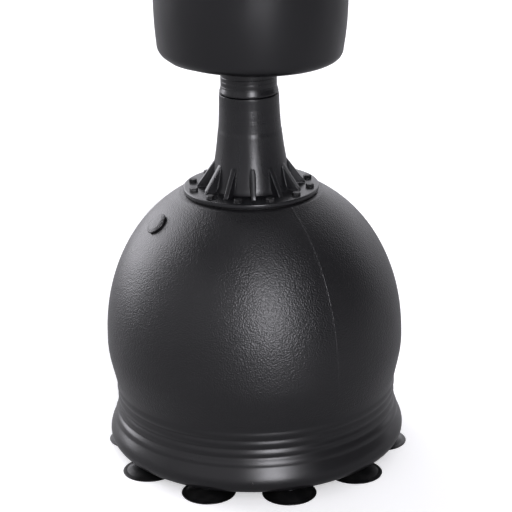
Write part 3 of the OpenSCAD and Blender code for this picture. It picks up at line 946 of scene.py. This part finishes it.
def make_cover_top():
    """The top panel, a little crowned, and the piping round it."""
    build = bmesh.new()
    low = BAG_TOP - 0.0115
    lathe(build, rounded([(0.0, low, 0), (BAG_R - 0.002, low, 0), (BAG_R - 0.0020, BAG_TOP - 0.0080, 0.002),
                          (BAG_R - 0.014, BAG_TOP - 0.0030, 0.010), (BAG_R * 0.5, BAG_TOP - 0.0008, 0.05),
                          (0.0, BAG_TOP - 0.0002, 0)], 6), 144, bag_ease)
    panel = link_mesh("cover_top_panel", build, "bag", [TOP_LEATHER])
    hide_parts("cover_top")
    build = bmesh.new()
    middle = BAG_TOP - 0.0060
    lathe(build, [(BAG_R - PIPING_R + PIPING_R * math.cos(a), middle + PIPING_R * math.sin(a))
                  for a in [TAU * k / 12 for k in range(13)]], 144, bag_ease)
    piping = link_mesh("top_piping_welt", build, "bag", [LEATHER])
    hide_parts("top_piping")


make_cover_top()


def make_padding():
    """The foam inside follows the cover's own unevenness, a little inside it."""
    gap = 0.0022
    foot_box, wrap_box, core_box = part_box("foot_foam"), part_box("foam_wrap"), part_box("foam_core")
    build = bmesh.new()
    inner = RECESS_R + 0.0043
    points = [(inner, foot_box[0][2])]
    points += [(r - gap, z) for r, z in cover_outline(foot_box[1][2]) if z > foot_box[0][2]]
    lathe(build, points + [(inner, foot_box[1][2]), points[0]], 96, bag_ease)
    pad = link_mesh("foot_pad", build, "bag", [FOAM_SKIN])
    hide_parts("foot_foam")
    build = bmesh.new()
    low, top, lid = wrap_box[0][2], wrap_box[1][2], core_box[1][2] + 0.0003
    core_r = core_box[1][0] + 0.0003
    count = 40
    points = [(core_r, low), (BAG_R - gap, low)]
    points += [(BAG_R - gap, low + (top - low) * k / count) for k in range(1, count + 1)]
    points += [(0.0, top)]
    lathe(build, points, 96, bag_ease)
    lathe(build, [(0.0, lid), (core_r, lid), (core_r, low)], 96)
    wrap = link_mesh("foam_sleeve", build, "bag", [FOAM_SKIN])
    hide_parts("foam_wrap")


make_padding()

# ---------------------------------------------------------------- spring

COIL_R = 0.033
WIRE_R = 0.005
COIL_TURNS = 8


def coil_height(turn, low, high):
    """Height of the wire's centre after so many turns, with one closed turn at each end."""
    closed = 2 * WIRE_R + 0.0004
    if turn < 1:
        return low + closed * turn
    if turn > COIL_TURNS - 1:
        return high - closed * (COIL_TURNS - turn)
    return low + closed + (high - low - 2 * closed) * (turn - 1) / (COIL_TURNS - 2)


def make_half_spring(name, first, last):
    """Half the coil, as a piece of its own so that each of the two sway joints could bend one half; it is not
    attached to any body here.
    """
    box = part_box("coil_spring")
    low, high = box[0][2] + WIRE_R, box[1][2] - WIRE_R
    steps = 32 * (last - first)
    build = bmesh.new()
    rings = []
    for k in range(steps + 1):
        turn = first + (last - first) * k / steps
        a, z = TAU * turn, coil_height(turn, low, high)
        ring = []
        for b in [TAU * s / 12 for s in range(12)]:
            r = COIL_R + WIRE_R * math.cos(b)
            ring.append(build.verts.new((r * math.cos(a), r * math.sin(a), z + WIRE_R * math.sin(b))))
        rings.append(ring)
    for lower, upper in zip(rings, rings[1:]):
        cross_faces(build, lower, upper)
    build.faces.new(rings[0][::-1])
    build.faces.new(rings[-1])
    bmesh.ops.recalc_face_normals(build, faces=build.faces)
    mesh = bpy.data.meshes.new(name)
    build.to_mesh(mesh)
    build.free()
    mesh.materials.append(STEEL_SKIN)
    mesh.shade_smooth()
    coil = bpy.data.objects.new(name, mesh)
    bpy.context.scene.collection.objects.link(coil)
    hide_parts("coil_spring")
    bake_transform(coil)


make_half_spring("spring_lower_half", 0, COIL_TURNS // 2)
make_half_spring("spring_upper_half", COIL_TURNS // 2, COIL_TURNS)

# ---------------------------------------------------------------- pieces kept from the CAD model

KEPT = {
    STEEL_SKIN: ["lower_spring_plate", "lower_plate_bolts", "lower_plate_nuts",
                 "upper_spring_plate", "upper_plate_bolts", "upper_plate_nuts", "post"],
    BRASS_SKIN: ["threaded_inserts"],
    SEAL_SKIN: ["plug_seal", "neck_gasket"],
    INNER_SKIN: ["recess_cup", "post_cap"],
    FOAM_SKIN: ["foam_core"],
    SAND_SKIN: ["sand_ballast"],
}

for skin, names in KEPT.items():
    for name in names:
        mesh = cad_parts[name].data
        mesh.materials.clear()
        mesh.materials.append(skin)

# ---------------------------------------------------------------- studio


def make_floor():
    """A wide pale floor. What the object mirrors of it is darker than what the camera sees."""
    n = Nodes("floor")
    shade = n.between(n.noise(1.3, 2.0), (0.88, 0.88, 0.88), (0.91, 0.91, 0.91))
    seen = n.tree.nodes.new("ShaderNodeLightPath").outputs["Is Camera Ray"]
    n.set(Base_Color=n.between(seen, FLOOR_MIRRORED, shade), Roughness=0.8, Specular_IOR_Level=0.1)
    n.shader.inputs["Emission Color"].default_value = (1.0, 1.0, 1.0, 1.0)
    n.tree.links.new(n.maths("MULTIPLY", seen, FLOOR_LIFT), n.shader.inputs["Emission Strength"])
    build = bmesh.new()
    bmesh.ops.create_grid(build, x_segments=8, y_segments=8, size=FLOOR_SIZE)
    mesh = bpy.data.meshes.new("floor")
    build.to_mesh(mesh)
    build.free()
    mesh.materials.append(n.material)
    floor = bpy.data.objects.new("floor", mesh)
    bpy.context.scene.collection.objects.link(floor)


# Soft boxes and white walls round the object, all far off. Angles in degrees: direction from the
# front towards +X, elevation, half width, half height; then brightness
STUDIO = (
    (12, 2, 8, 10, 10.9),
    (12, 22, 8, 11, 16.3),
    (12, 44, 8, 12, 6.5),
    (-42, 15, 26, 28, 0.6),
    (-90, 15, 18, 28, 0.6),
    (130, 15, 12, 28, 0.9),
    (152, 15, 10, 28, 1.15),
    (170, 15, 10, 28, 1.4),
    (-165, 15, 12, 28, 2.1),
    (-142, 15, 10, 28, 3.8),
    (-120, 15, 12, 28, 5.2),
    (0, 88, 200, 14, 1.0),
    (0, 20, 200, 80, 0.12),
)
FLOOR_LIFT = 0.40
FLOOR_MIRRORED = (0.45, 0.45, 0.45)
FLOOR_SIZE = 20.0
STUDIO_COLOUR = (1.0, 0.99, 1.05, 1.0)


def make_world():
    """The studio's soft boxes and walls, as bright patches of a dark sky that the camera sees as white."""
    world = bpy.data.worlds.new("studio")
    bpy.context.scene.world = world
    world.use_nodes = True
    tree = world.node_tree
    back = tree.nodes["Background"]
    back.inputs["Color"].default_value = STUDIO_COLOUR
    split = tree.nodes.new("ShaderNodeSeparateXYZ")
    tree.links.new(tree.nodes.new("ShaderNodeTexCoord").outputs["Generated"], split.inputs[0])

    def maths(operation, *values):
        node = tree.nodes.new("ShaderNodeMath")
        node.operation = operation
        for socket, value in zip(node.inputs, values):
            if isinstance(value, bpy.types.NodeSocket):
                tree.links.new(value, socket)
            else:
                socket.default_value = value
        return node.outputs[0]

    def soft_edge(distance, half):
        node = tree.nodes.new("ShaderNodeMapRange")
        node.interpolation_type = "SMOOTHSTEP"
        tree.links.new(distance, node.inputs["Value"])
        for key, number in (("From Min", 1.25 * math.radians(half)), ("From Max", 0.75 * math.radians(half)),
                            ("To Min", 0.0), ("To Max", 1.0)):
            node.inputs[key].default_value = number
        return node.outputs[0]

    azimuth = maths("ARCTAN2", split.outputs["X"], maths("MULTIPLY", split.outputs["Y"], -1.0))
    elevation = maths("ARCSINE", split.outputs["Z"])
    total = None
    for toward, up, half_width, half_height, strength in STUDIO:
        across = maths("WRAP", maths("SUBTRACT", azimuth, math.radians(toward)), math.pi, -math.pi)
        over = maths("SUBTRACT", elevation, math.radians(up))
        patch = maths("MULTIPLY", soft_edge(maths("ABSOLUTE", across), half_width),
                      soft_edge(maths("ABSOLUTE", over), half_height))
        patch = maths("MULTIPLY", patch, strength)
        total = patch if total is None else maths("ADD", total, patch)
    seen = tree.nodes.new("ShaderNodeLightPath").outputs["Is Camera Ray"]
    hidden = maths("SUBTRACT", 1.0, seen)
    tree.links.new(maths("ADD", maths("MULTIPLY", total, hidden), seen), back.inputs["Strength"])


make_floor()
make_world()

scene = bpy.context.scene
scene.view_settings.view_transform = "Standard"
